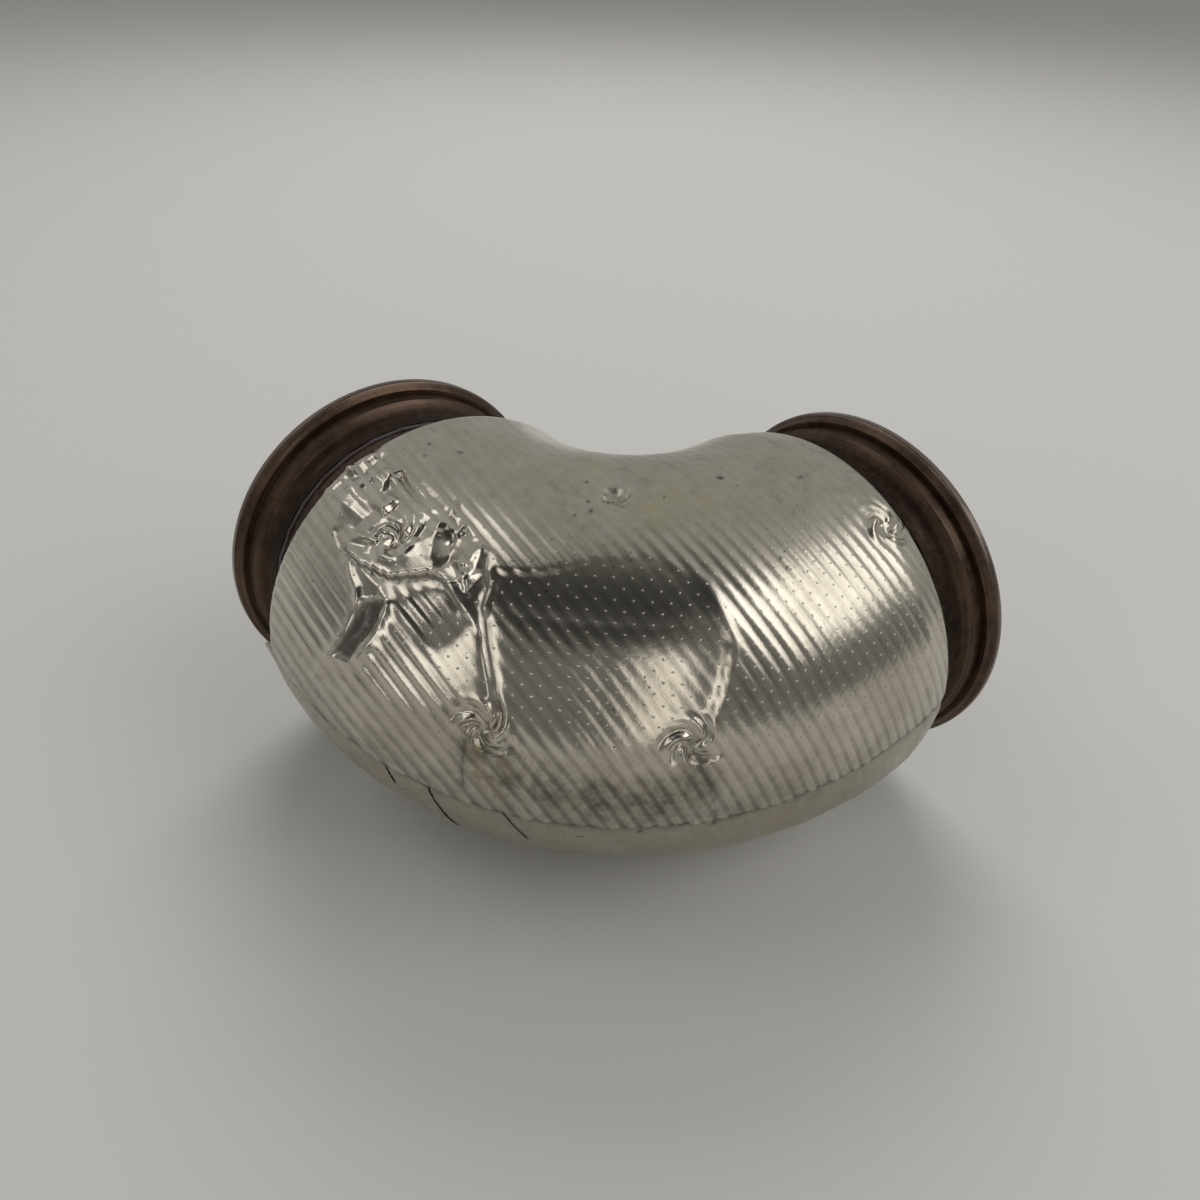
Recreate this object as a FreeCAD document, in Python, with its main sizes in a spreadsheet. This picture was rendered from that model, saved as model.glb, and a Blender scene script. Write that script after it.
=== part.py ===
import FreeCAD, Part
import Sketcher
import os

# Insulated exhaust elbow with a clamp flange at each end.
# The origin is the centre of the inlet flange's sealing face. The inlet leg runs along +X,
# the bend turns a quarter circle towards +Y in the plane z = 0, and the outlet leg leaves along +Y.
doc = FreeCAD.newDocument("exhaust_elbow")

SIZES = (
    ("bend_radius", 89.5, "centreline radius of the bend"),
    ("leg_length", 58.5, "straight leg from a sealing face to the bend"),
    ("pipe_diameter", 127.0, "outside of the gas pipe"),
    ("pipe_wall", 2.0, "steel wall of the pipe"),
    ("socket_step", 3.0, "step in the flange ring's bore that the pipe's end stops against"),
    ("seam_weld_width", 4.0, "weld that joins the two pressed pipe halves"),
    ("rim_height", 11.5, "clamp rim above the pipe"),
    ("rim_width", 3.0, "cylindrical band of the clamp rim"),
    ("rim_round", 0.8, "rounding of the rim's two edges"),
    ("lip_depth", 5.5, "where the sloping back of the lip ends"),
    ("lip_height", 8.5, "foot of the lip's sloping back, above the pipe"),
    ("step_height", 6.5, "step behind the lip, above the pipe"),
    ("step_depth", 11.0, "end of the step, where its bright corner is"),
    ("ring_neck", 1.2, "wall of the flange ring's thin neck round the pipe"),
    ("cone_depth", 15.5, "end of the cone between step and neck"),
    ("cone_round", 7.0, "hollow rounding between cone and neck"),
    ("ring_depth", 22.0, "whole depth of the flange ring"),
    ("flange_weld_reach", 2.0, "length along the pipe of the weld at the ring's neck"),
    ("mat_thickness", 14.5, "fibre mat between pipe and foil"),
    ("foil_thickness", 0.4, "embossed foil, with its embossing flattened out"),
    ("seam_drop", 10.0, "foil seam below the bend plane at mid bend"),
    ("seam_sweep", 520.0, "radius in which the seam rises towards both ends"),
    ("seam_lap", 4.0, "width by which the lower foil tucks under the upper one"),
    ("inlet_cover_start", 49.0, "foil edge behind the inlet sealing face"),
    ("inlet_corner_length", 3.0, "rounded-off corner of the cover at the inlet end"),
    ("inlet_corner_drop", 0.8, "radius lost in that corner"),
    ("outlet_cover_start", 35.0, "foil edge behind the outlet sealing face"),
    ("outlet_corner_length", 12.0, "tapered end of the cover at the outlet"),
    ("outlet_corner_drop", 2.6, "radius lost in that taper"),
    ("shoulder_turn", 50.0, "wide dent on the shoulder: place along the bend, degrees"),
    ("shoulder_lift", 44.0, "wide dent: place round the tube, degrees above the bend plane"),
    ("shoulder_ball", 300.0, "wide dent: radius of the ball that would press it"),
    ("shoulder_depth", 2.0, "wide dent: depth"),
    ("pocket_turn", 16.8, "small deep dent near the inlet end"),
    ("pocket_lift", 34.0, "small deep dent: place round the tube"),
    ("pocket_ball", 26.0, "small deep dent: ball radius"),
    ("pocket_depth", 3.5, "small deep dent: depth"),
    ("ledge_turn", 26.0, "flat dent beside the pocket"),
    ("ledge_lift", 42.0, "flat dent: place round the tube"),
    ("ledge_ball", 70.0, "flat dent: ball radius"),
    ("ledge_depth", 2.5, "flat dent: depth"),
    ("pinch_ball", 8.0, "ball radius of the five pinches that hold the foil to the mat"),
    ("pinch_depth", 2.0, "depth of a pinch"),
    ("inlet_pinch_turn", 14.8, "pinch near the inlet end"),
    ("inlet_pinch_lift", 56.5, "pinch near the inlet end: place round the tube"),
    ("low_pinch_turn", 35.0, "pinch above the seam, inlet side"),
    ("low_pinch_lift", 18.3, "that pinch: place round the tube"),
    ("crown_pinch_turn", 48.8, "pinch on the crown of the bend"),
    ("crown_pinch_lift", 85.0, "that pinch: place round the tube"),
    ("far_pinch_turn", 60.1, "pinch above the seam, outlet side"),
    ("far_pinch_lift", 18.0, "that pinch: place round the tube"),
    ("outlet_pinch_run", 14.0, "pinch on the outlet leg: distance past the bend"),
    ("outlet_pinch_lift", 59.0, "that pinch: place round the tube"),
    ("slit_width", 0.9, "width of the three slits in the lower foil"),
    ("slit_lean", 25.0, "lean of the slits, degrees"),
    ("first_slit_turn", 21.8, "slit nearest the inlet"),
    ("first_slit_length", 13.0, "that slit's length"),
    ("middle_slit_turn", 28.3, "middle slit"),
    ("middle_slit_length", 26.0, "that slit's length"),
    ("last_slit_turn", 39.0, "slit nearest mid bend"),
    ("last_slit_length", 18.0, "that slit's length"),
)

sheet = doc.addObject("Spreadsheet::Sheet", "Sizes")
for row, (alias, value, meaning) in enumerate(SIZES, start=1):
    sheet.set(f"A{row}", meaning)
    sheet.set(f"B{row}", str(value))
    sheet.setAlias(f"B{row}", alias)
doc.recompute()

# Lengths that follow from the sheet.
PIPE_OUTSIDE = "Sizes.pipe_diameter / 2"
PIPE_INSIDE = "(Sizes.pipe_diameter / 2 - Sizes.pipe_wall)"
COVER_OUTSIDE = "(Sizes.pipe_diameter / 2 + Sizes.mat_thickness + 2 * Sizes.foil_thickness)"
OUTLET_AXIS = "(Sizes.leg_length + Sizes.bend_radius)"
REACH = "2 * (Sizes.leg_length + Sizes.bend_radius + Sizes.pipe_diameter)"

# Angles of the bend, in degrees.
QUARTER_TURN = 90
MID_BEND = QUARTER_TURN / 2
FULL_TURN = 360

X_AXIS = FreeCAD.Vector(1, 0, 0)
Y_AXIS = FreeCAD.Vector(0, 1, 0)
Z_AXIS = FreeCAD.Vector(0, 0, 1)
ALONG_X = FreeCAD.Rotation(Y_AXIS, QUARTER_TURN)
ALONG_Y = FreeCAD.Rotation(X_AXIS, -QUARTER_TURN)
INLET_TO_OUTLET = FreeCAD.Rotation(Z_AXIS, -QUARTER_TURN)
BEND_FROM_INLET = FreeCAD.Rotation(Z_AXIS, -QUARTER_TURN)
ACROSS_BEND = FreeCAD.Rotation(Z_AXIS, FreeCAD.Vector(1, -1, 0))


def make(kind, name, turned=None, **expressions):
    """Adds an object whose properties follow the sheet."""
    thing = doc.addObject(kind, name)
    if turned is not None:
        thing.Placement.Rotation = turned
    for prop, expression in expressions.items():
        thing.setExpression(prop, expression)
    return thing


def place(thing, x="0", y="0", z="0"):
    """Ties an object's position to the sheet."""
    for axis, expression in (("x", x), ("y", y), ("z", z)):
        thing.setExpression(f"Placement.Base.{axis}", expression)
    return thing


def cut(name, base, tool):
    result = doc.addObject("Part::Cut", name)
    result.Base = base
    result.Tool = tool
    return result


def common(name, base, tool):
    result = doc.addObject("Part::Common", name)
    result.Base = base
    result.Tool = tool
    return result


def fuse(name, shapes):
    result = doc.addObject("Part::MultiFuse", name)
    result.Shapes = shapes
    return result


# Solid forms that follow the elbow's centreline.
def bend_piece(name, radius):
    torus = make("Part::Torus", name, BEND_FROM_INLET,
                 Radius1="Sizes.bend_radius", Radius2=radius)
    torus.Angle3 = QUARTER_TURN
    return place(torus, x="Sizes.leg_length", y="Sizes.bend_radius")


def inlet_rod(name, radius, start, end="Sizes.leg_length"):
    rod = make("Part::Cylinder", name, ALONG_X, Radius=radius, Height=f"{end} - ({start})")
    return place(rod, x=start)


def outlet_rod(name, radius, start):
    rod = make("Part::Cylinder", name, ALONG_Y, Radius=radius,
               Height=f"Sizes.leg_length - ({start})")
    return place(rod, x=OUTLET_AXIS, y="Sizes.bend_radius")


def elbow_rod(name, radius, start):
    """A full rod along both legs and the bend, cut off square at both ends."""
    return fuse(name, [
        inlet_rod(name + "_inlet", radius, start),
        bend_piece(name + "_bend", radius),
        outlet_rod(name + "_outlet", radius, start),
    ])


# Balls that press the dents and pinches, placed from the centreline.
def ball_on_bend(name, turn, lift, ball, depth, growth):
    reach = f"({COVER_OUTSIDE} + Sizes.{ball} - Sizes.{depth})"
    swing = f"(Sizes.bend_radius + {reach} * cos(Sizes.{lift}))"
    sphere = make("Part::Sphere", name, Radius=f"Sizes.{ball} - ({growth})")
    return place(sphere,
                 x=f"Sizes.leg_length + {swing} * sin(Sizes.{turn})",
                 y=f"Sizes.bend_radius - {swing} * cos(Sizes.{turn})",
                 z=f"{reach} * sin(Sizes.{lift})")


def ball_on_outlet_leg(name, run, lift, ball, depth, growth):
    reach = f"({COVER_OUTSIDE} + Sizes.{ball} - Sizes.{depth})"
    sphere = make("Part::Sphere", name, Radius=f"Sizes.{ball} - ({growth})")
    return place(sphere,
                 x=f"{OUTLET_AXIS} + {reach} * cos(Sizes.{lift})",
                 y=f"Sizes.bend_radius + Sizes.{run}",
                 z=f"{reach} * sin(Sizes.{lift})")


def dent_balls(name, growth):
    balls = [
        ball_on_bend(f"{name}_{dent}", f"{dent}_turn", f"{dent}_lift", f"{dent}_ball",
                     f"{dent}_depth", growth)
        for dent in ("shoulder", "pocket", "ledge")
    ]
    balls += [
        ball_on_bend(f"{name}_{pinch}", f"{pinch}_turn", f"{pinch}_lift", "pinch_ball",
                     "pinch_depth", growth)
        for pinch in ("inlet_pinch", "low_pinch", "crown_pinch", "far_pinch")
    ]
    balls.append(ball_on_outlet_leg(f"{name}_outlet_pinch", "outlet_pinch_run",
                                    "outlet_pinch_lift", "pinch_ball", "pinch_depth", growth))
    return fuse(name + "_dents", balls)


def cover_form(name, layers):
    """The dented form of the cover, taken in by a number of foil layers."""
    inset = f"{layers} * Sizes.foil_thickness"
    radius = f"({COVER_OUTSIDE} - {inset})"
    inlet_end = f"(Sizes.inlet_cover_start + {inset})"
    outlet_end = f"(Sizes.outlet_cover_start + {inset})"
    inlet_full = "(Sizes.inlet_cover_start + Sizes.inlet_corner_length)"
    outlet_full = "(Sizes.outlet_cover_start + Sizes.outlet_corner_length)"
    inlet_corner = make("Part::Cone", name + "_inlet_corner", ALONG_X,
                        Radius1=f"{radius} - Sizes.inlet_corner_drop", Radius2=radius,
                        Height=f"{inlet_full} - {inlet_end}")
    outlet_corner = make("Part::Cone", name + "_outlet_corner", ALONG_Y,
                         Radius1=radius, Radius2=f"{radius} - Sizes.outlet_corner_drop",
                         Height=f"{outlet_full} - {outlet_end}")
    whole = fuse(name + "_whole", [
        place(inlet_corner, x=inlet_end),
        inlet_rod(name + "_inlet", radius, inlet_full),
        bend_piece(name + "_bend", radius),
        outlet_rod(name + "_outlet", radius, outlet_full),
        place(outlet_corner, x=OUTLET_AXIS,
              y=f"{OUTLET_AXIS} - {outlet_full}"),
    ])
    return cut(name, whole, dent_balls(name, f"-{inset}"))


def seam_bowl(name, lap):
    """Everything above the curved seam, which sags at mid bend and rises to both ends."""
    bowl = make("Part::Cylinder", name, ACROSS_BEND, Radius="Sizes.seam_sweep", Height=REACH)
    return place(bowl,
                 x=f"Sizes.leg_length - {REACH} / 2 * cos({MID_BEND})",
                 y=f"Sizes.bend_radius + {REACH} / 2 * sin({MID_BEND})",
                 z=f"Sizes.seam_sweep - Sizes.seam_drop + {lap}")


# Two pressed half shells and the two welds between them, all of one wall.
pipe_wall = cut("pipe_wall_form",
                elbow_rod("pipe_rod", PIPE_OUTSIDE, "Sizes.socket_step"),
                elbow_rod("pipe_bore", PIPE_INSIDE, "0"))


def level_block(name, bottom, height):
    block = make("Part::Box", name, Length=REACH, Width=REACH, Height=height)
    return place(block, x=f"{OUTLET_AXIS} / 2 - {REACH} / 2",
                 y=f"{OUTLET_AXIS} / 2 - {REACH} / 2", z=bottom)


pipe_upper = common("pipe_upper_half", pipe_wall,
                    level_block("above_weld", "Sizes.seam_weld_width / 2", REACH))
pipe_lower = common("pipe_lower_half", pipe_wall,
                    level_block("below_weld", f"-Sizes.seam_weld_width / 2 - {REACH}", REACH))
seam_strips = common("seam_strips", pipe_wall,
                     level_block("weld_band", "-Sizes.seam_weld_width / 2",
                                 "Sizes.seam_weld_width"))

# The space on the inner side of the centreline parts the inner weld from the outer one.
swing_disc = make("Part::Cylinder", "swing_disc", Radius="Sizes.bend_radius", Height=REACH)
place(swing_disc, x="Sizes.leg_length", y="Sizes.bend_radius", z=f"-{REACH} / 2")
inlet_side = make("Part::Box", "inlet_side", Length="Sizes.leg_length", Width=REACH, Height=REACH)
place(inlet_side, z=f"-{REACH} / 2")
outlet_side = make("Part::Box", "outlet_side", Length="Sizes.bend_radius", Width=REACH,
                   Height=REACH)
place(outlet_side, x="Sizes.leg_length", y="Sizes.bend_radius", z=f"-{REACH} / 2")
inner_side = fuse("inner_side", [swing_disc, inlet_side, outlet_side])
weld_inner = common("seam_weld_inner", seam_strips, inner_side)
weld_outer = cut("seam_weld_outer", seam_strips, inner_side)


# Turned rings: a closed profile of depth and radius, revolved about the pipe's axis.
def turned_ring(name, corners, at_outlet):
    body = doc.addObject("PartDesign::Body", name)
    sketch = body.newObject("Sketcher::SketchObject", name + "_profile")
    planes = body.Origin.OriginFeatures
    sketch.AttachmentSupport = [next(p for p in planes if p.Role == "XZ_Plane")]
    sketch.MapMode = "FlatFace"
    points = [FreeCAD.Vector(sheet.evalExpression(d), sheet.evalExpression(r), 0)
              for d, r in corners]
    for start, end in zip(points, points[1:] + points[:1]):
        sketch.addGeometry(Part.LineSegment(start, end))
    for line in range(len(corners)):
        after = (line + 1) % len(corners)
        sketch.addConstraint(Sketcher.Constraint("Coincident", line, 2, after, 1))
    for line, (depth, radius) in enumerate(corners):
        for kind, expression in (("DistanceX", depth), ("DistanceY", radius)):
            value = sheet.evalExpression(expression)
            number = sketch.addConstraint(Sketcher.Constraint(kind, -1, 1, line, 1, value))
            sketch.setExpression(f"Constraints[{number}]", expression)
    turned = body.newObject("PartDesign::Revolution", name + "_turned")
    turned.Profile = sketch
    turned.ReferenceAxis = (sketch, ["H_Axis"])
    turned.Angle = FULL_TURN
    if at_outlet:
        body.Placement.Rotation = INLET_TO_OUTLET
        place(body, x=OUTLET_AXIS, y=OUTLET_AXIS)
    doc.recompute()
    return body


def round_corners(body, corners):
    """Rounds circular edges, each found by its depth and radius, with a radius of its own."""
    for number, (depth, radius, rounding) in enumerate(corners, start=1):
        base = body.Tip
        edge = nearest_circle(base.Shape, sheet.evalExpression(depth), sheet.evalExpression(radius))
        fillet = body.newObject("PartDesign::Fillet", f"{body.Name}_round_{number}")
        fillet.Base = (base, [edge])
        fillet.setExpression("Radius", rounding)
        doc.recompute()


def nearest_circle(shape, depth, radius):
    def miss(edge):
        if not isinstance(edge.Curve, Part.Circle):
            return float("inf")
        return abs(edge.Curve.Center.x - depth) + abs(edge.Curve.Radius - radius)
    names = {f"Edge{n}": miss(edge) for n, edge in enumerate(shape.Edges, start=1)}
    return min(names, key=names.get)


RIM_OUTSIDE = f"({PIPE_OUTSIDE} + Sizes.rim_height)"
LIP_FOOT = f"({PIPE_OUTSIDE} + Sizes.lip_height)"
STEP_OUTSIDE = f"({PIPE_OUTSIDE} + Sizes.step_height)"
NECK_OUTSIDE = f"({PIPE_OUTSIDE} + Sizes.ring_neck)"
FLANGE_CORNERS = (
    ("0", PIPE_INSIDE),
    ("0", RIM_OUTSIDE),
    ("Sizes.rim_width", RIM_OUTSIDE),
    ("Sizes.lip_depth", LIP_FOOT),
    ("Sizes.lip_depth", STEP_OUTSIDE),
    ("Sizes.step_depth", STEP_OUTSIDE),
    ("Sizes.cone_depth", NECK_OUTSIDE),
    ("Sizes.ring_depth", NECK_OUTSIDE),
    ("Sizes.ring_depth", PIPE_OUTSIDE),
    ("Sizes.socket_step", PIPE_OUTSIDE),
    ("Sizes.socket_step", PIPE_INSIDE),
)
FLANGE_ROUNDS = (
    ("0", RIM_OUTSIDE, "Sizes.rim_round"),
    ("Sizes.rim_width", RIM_OUTSIDE, "Sizes.rim_round"),
    ("Sizes.cone_depth", NECK_OUTSIDE, "Sizes.cone_round"),
)
# The weld fills the corner between the ring's neck and the pipe.
FLANGE_WELD_CORNERS = (
    ("Sizes.ring_depth", PIPE_OUTSIDE),
    ("Sizes.ring_depth", NECK_OUTSIDE),
    ("Sizes.ring_depth + Sizes.flange_weld_reach", PIPE_OUTSIDE),
)

flanges = []
flange_welds = []
for end in ("inlet", "outlet"):
    flange = turned_ring(end + "_flange", FLANGE_CORNERS, end == "outlet")
    round_corners(flange, FLANGE_ROUNDS)
    flanges.append(flange)
    flange_welds.append(turned_ring(end + "_flange_weld", FLANGE_WELD_CORNERS, end == "outlet"))

# Foil covers over the mats. The upper foil is the outermost layer, the lower foil lies one layer
# further in so that its edge tucks under, and each mat fills the room inside its own foil.
outer_form = cover_form("outer_form", 0)
middle_form = cover_form("middle_form", 1)
inner_form = cover_form("inner_form", 2)
pipe_core = elbow_rod("pipe_core", PIPE_OUTSIDE, "Sizes.socket_step")
above_seam = seam_bowl("above_seam", "0")
above_lap = seam_bowl("above_lap", "Sizes.seam_lap")

upper_layer = cut("upper_layer", outer_form, fuse("under_upper_foil", [middle_form, pipe_core]))
foil_upper = common("foil_cover_upper", upper_layer, above_seam)
lower_layer = cut("lower_layer", middle_form, fuse("under_lower_foil", [inner_form, pipe_core]))
foil_lower_whole = cut("foil_lower_whole", lower_layer, above_lap)
mat_upper = common("insulation_upper", cut("upper_mat_ring", middle_form, pipe_core), above_lap)
mat_lower = cut("insulation_lower", cut("lower_mat_ring", inner_form, pipe_core), above_lap)


# Slits where the lower foil has cracked just under the seam.
def slit(name, turn, length):
    """A thin block through the foil that leans over, from the seam downwards."""
    outer_swing = f"(Sizes.bend_radius + {COVER_OUTSIDE})"
    off_middle = f"({outer_swing} * sin(Sizes.{turn} - {MID_BEND}))"
    seam_rise = f"(Sizes.seam_sweep - sqrt(Sizes.seam_sweep ^ 2 - {off_middle} ^ 2))"
    block = make("Part::Box", name, Length="Sizes.slit_width", Height=f"Sizes.{length}",
                 Width="Sizes.mat_thickness")
    turned = sheet.evalExpression(f"Sizes.{turn}")
    lean = sheet.evalExpression("Sizes.slit_lean")
    block.Placement.Rotation = (FreeCAD.Rotation(Z_AXIS, turned)
                                * FreeCAD.Rotation(Y_AXIS, -lean))
    return place(block,
                 x=f"Sizes.leg_length + {outer_swing} * sin(Sizes.{turn})",
                 y=f"Sizes.bend_radius - {outer_swing} * cos(Sizes.{turn})",
                 z=f"{seam_rise} - Sizes.seam_drop - Sizes.{length}")


slits = fuse("slits", [slit(f"{which}_slit", f"{which}_slit_turn", f"{which}_slit_length")
                       for which in ("first", "middle", "last")])
foil_lower = cut("foil_cover_lower", foil_lower_whole, slits)
doc.recompute()

PIECES = [*flanges, *flange_welds, pipe_upper, pipe_lower, weld_inner, weld_outer,
          mat_upper, mat_lower, foil_upper, foil_lower]

for thing in doc.Objects:
    if "Invalid" in thing.State or "Error" in thing.State:
        raise RuntimeError(f"{thing.Name} failed: {thing.State}")
for piece in PIECES:
    if piece.Shape.isNull() or not piece.Shape.isValid() or not piece.Shape.Solids:
        raise RuntimeError(f"{piece.Name} has no valid solid")

os.makedirs("parts", exist_ok=True)
for piece in PIECES:
    piece.Shape.exportStep(f"parts/{piece.Label}.step")
    print(piece.Label, len(piece.Shape.Solids), round(piece.Shape.Volume))
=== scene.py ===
import math
import bpy
import numpy as np
from mathutils import Matrix, Vector
from mathutils.geometry import delaunay_2d_cdt


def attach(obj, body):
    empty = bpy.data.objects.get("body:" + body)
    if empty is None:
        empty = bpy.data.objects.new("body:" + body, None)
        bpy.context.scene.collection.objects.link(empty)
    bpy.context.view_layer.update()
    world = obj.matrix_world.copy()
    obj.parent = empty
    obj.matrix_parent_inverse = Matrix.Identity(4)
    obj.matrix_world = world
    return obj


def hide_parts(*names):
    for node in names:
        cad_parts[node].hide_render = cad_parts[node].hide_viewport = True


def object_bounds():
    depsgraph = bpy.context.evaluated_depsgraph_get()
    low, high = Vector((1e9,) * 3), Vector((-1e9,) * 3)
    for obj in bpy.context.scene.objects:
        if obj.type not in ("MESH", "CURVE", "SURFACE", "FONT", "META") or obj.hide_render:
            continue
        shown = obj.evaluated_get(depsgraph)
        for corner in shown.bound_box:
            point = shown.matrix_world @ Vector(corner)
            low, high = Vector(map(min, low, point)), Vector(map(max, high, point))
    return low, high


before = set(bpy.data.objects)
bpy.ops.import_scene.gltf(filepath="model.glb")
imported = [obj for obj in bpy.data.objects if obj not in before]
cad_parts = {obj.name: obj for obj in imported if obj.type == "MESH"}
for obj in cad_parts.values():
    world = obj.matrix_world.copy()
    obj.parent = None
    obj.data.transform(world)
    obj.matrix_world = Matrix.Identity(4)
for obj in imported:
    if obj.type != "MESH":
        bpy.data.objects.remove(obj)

cad_box = [[float(c) for c in corner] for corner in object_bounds()]


# Camera. It stands where the photograph was taken from: in front of the bend's outer side,
# looking down on it, with the frame turned a little anticlockwise.
MM = 0.001
CAMERA_DISTANCE = 0.45927
camera_data = bpy.data.cameras.new("photo_camera")
camera_data.lens = 27.61
camera_data.sensor_width = 36.0
camera_data.clip_start = 0.01
camera = bpy.data.objects.new("photo_camera", camera_data)
bpy.context.scene.collection.objects.link(camera)
azimuth, elevation, roll = (math.radians(a) for a in (51.97, 38.56, 1.46))
back = Vector((math.sin(azimuth) * math.cos(elevation),
               -math.cos(azimuth) * math.cos(elevation), math.sin(elevation)))
target = Vector((56.83, 78.93, -40.19)) * MM
level_right = Vector((0, 0, 1)).cross(back).normalized()
level_up = back.cross(level_right)
right = level_right * math.cos(roll) + level_up * math.sin(roll)
up = level_up * math.cos(roll) - level_right * math.sin(roll)
camera.matrix_world = Matrix.Translation(target + back * CAMERA_DISTANCE) @ Matrix(
    (right, up, back)).transposed().to_4x4()
bpy.context.scene.camera = camera


# Floor. A plain pale studio floor, matt and level, on which the elbow lies with the lowest part
# of its foil.
floor_level = cad_box[0][2]
floor_mesh = bpy.data.meshes.new("studio_floor")
reach = 6.0
floor_mesh.from_pydata([(-reach, -reach, floor_level), (reach, -reach, floor_level),
                        (reach, reach, floor_level), (-reach, reach, floor_level)],
                       [], [(0, 1, 2, 3)])
floor = bpy.data.objects.new("studio_floor", floor_mesh)
bpy.context.scene.collection.objects.link(floor)
floor_paint = bpy.data.materials.new("pale_floor")
floor_paint.use_nodes = True
floor_shader = floor_paint.node_tree.nodes["Principled BSDF"]
floor_shader.inputs["Base Color"].default_value = (0.68, 0.67, 0.65, 1)
floor_shader.inputs["Roughness"].default_value = 0.9
floor_mesh.materials.append(floor_paint)


# Light. Soft boxes stand round the elbow where the bright parts of its foil point. The room is
# grey behind the elbow, dimmer on the camera's side and darkest overhead in front.
ROOM_BEHIND = 0.44
ROOM_IN_FRONT = 0.20
DIM_OVERHEAD = 0.30
world = bpy.data.worlds.new("studio_room")
world.use_nodes = True
room = world.node_tree
way = room.nodes.new("ShaderNodeTexCoord").outputs["Generated"]


def towards(turn, height):
    """Unit vector to a compass turn and height angle: turn 0 is -Y, 90 is +X."""
    a, e = math.radians(turn), math.radians(height)
    return Vector((math.sin(a) * math.cos(e), -math.cos(a) * math.cos(e), math.sin(e)))


def room_share(direction, low, high, to_low, to_high):
    """Soft-edged share of the room that lies round a direction."""
    dot = room.nodes.new("ShaderNodeVectorMath")
    dot.operation = "DOT_PRODUCT"
    room.links.new(way, dot.inputs[0])
    dot.inputs[1].default_value = direction
    share = room.nodes.new("ShaderNodeMapRange")
    share.interpolation_type = "SMOOTHSTEP"
    room.links.new(dot.outputs["Value"], share.inputs["Value"])
    for socket, value in (("From Min", low), ("From Max", high), ("To Min", to_low),
                          ("To Max", to_high)):
        share.inputs[socket].default_value = value
    return share.outputs["Result"]


light_level = room.nodes.new("ShaderNodeMath")
light_level.operation = "MULTIPLY"
behind = room_share(towards(-128, 8), -0.15, 0.30, ROOM_IN_FRONT, ROOM_BEHIND)
overhead = room_share(towards(28, 70), 0.87, 0.935, 1.0, DIM_OVERHEAD)
room.links.new(behind, light_level.inputs[0])
room.links.new(overhead, light_level.inputs[1])
room.links.new(light_level.outputs[0], room.nodes["Background"].inputs["Strength"])
room.nodes["Background"].inputs["Color"].default_value = (0.97, 0.98, 0.96, 1)
bpy.context.scene.world = world
bpy.context.scene.view_settings.view_transform = "Standard"

middle_of_part = Vector((0.12, 0.03, 0.0))


def soft_box(name, turn, height, distance, width, tall, brightness, colour):
    """A rectangular soft box at a compass turn and height angle seen from the part."""
    outwards = towards(turn, height)
    data = bpy.data.lights.new(name, "AREA")
    data.shape = "RECTANGLE"
    data.size = width
    data.size_y = tall
    data.color = colour
    data.energy = brightness * math.pi * width * tall
    lamp = bpy.data.objects.new(name, data)
    lamp.location = middle_of_part + outwards * distance
    lamp.rotation_euler = outwards.to_track_quat("Z", "Y").to_euler()
    bpy.context.scene.collection.objects.link(lamp)
    return lamp


soft_box("key_window", 126, 42, 2.0, 1.45, 1.25, 1.7, (1.0, 0.985, 0.95))
soft_box("narrow_gap", 59, 20, 2.0, 0.44, 1.5, 1.15, (1.0, 0.97, 0.9))
soft_box("left_gap", 5, 24, 2.0, 0.52, 1.4, 1.25, (1.0, 0.98, 0.93))
soft_box("high_gap", -44, 54, 2.0, 0.90, 0.75, 1.1, (1.0, 0.98, 0.94))

# A wash from behind lights the floor and throws the elbow's soft shadow towards the camera.
# The foil doesn't mirror it.
floor_wash = soft_box("floor_wash", -128, 46, 2.2, 1.4, 1.0, 3.4, (1.0, 0.99, 0.97))
floor_wash.visible_glossy = False


# Gas pipe. Two pressed steel halves, welded together along the inner and the outer side of the
# bend. The steel is bare, brown from heat and mottled with soot.
pipe_metal = bpy.data.materials.new("pipe_steel")


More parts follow.
